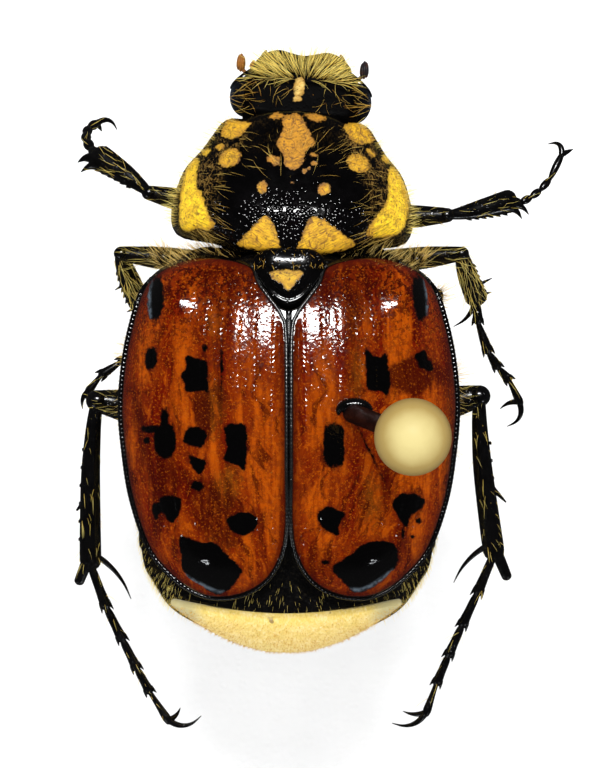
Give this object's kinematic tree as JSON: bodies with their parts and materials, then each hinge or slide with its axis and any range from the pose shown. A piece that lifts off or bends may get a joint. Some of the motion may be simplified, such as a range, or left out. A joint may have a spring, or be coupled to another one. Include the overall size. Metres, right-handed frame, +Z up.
{
  "type": "pinned flower chafer specimen",
  "caption": "Dried flower chafer, spread and pinned, on a plain white block that holds the pin: glossy red-brown wing cases with black spots and a black pronotum with yellow patches.",
  "frame": {"origin": "centre of the underside of the base block", "axes": "+Z up along the height of the mount, +Y the way the beetle's head points, +X towards the beetle's right side"},
  "size_m": [0.02, 0.024, 0.0301],
  "materials": {
    "wing_case": "glossy red-brown chitin, streaked and spotted black",
    "black_plate": "glossy black chitin",
    "pronotum": "punctured black chitin with matt yellow patches",
    "head": "punctured black chitin, grey at the front",
    "pygidium": "matt cream-yellow, finely haired",
    "eye": "smooth black",
    "feeler": "brown chitin",
    "leg": "glossy black chitin with sparse hairs",
    "hair": "golden bristles",
    "pin_enamel": "black enamelled steel",
    "pin_head": "cream nylon",
    "stand_base": "smooth white lacquer"
  },
  "bodies": {
    "root": {"elytron_right": "wing_case", "elytron_left": "wing_case", "scutellum": "black_plate", "thorax": "black_plate", "abdomen": "black_plate", "pygidium": "pygidium", "pronotum": "pronotum", "head": "head", "eye_right": "eye", "eye_left": "eye", "antenna_right": "feeler", "antenna_left": "feeler", "foreleg_left": "leg", "foreleg_right": "leg", "midleg_left": "leg", "midleg_right": "leg", "hindleg_left": "leg", "hindleg_right": "leg", "pin": "pin_enamel", "pin_head": "pin_head", "stand_base": "stand_base"}
  },
  "joints": []
}
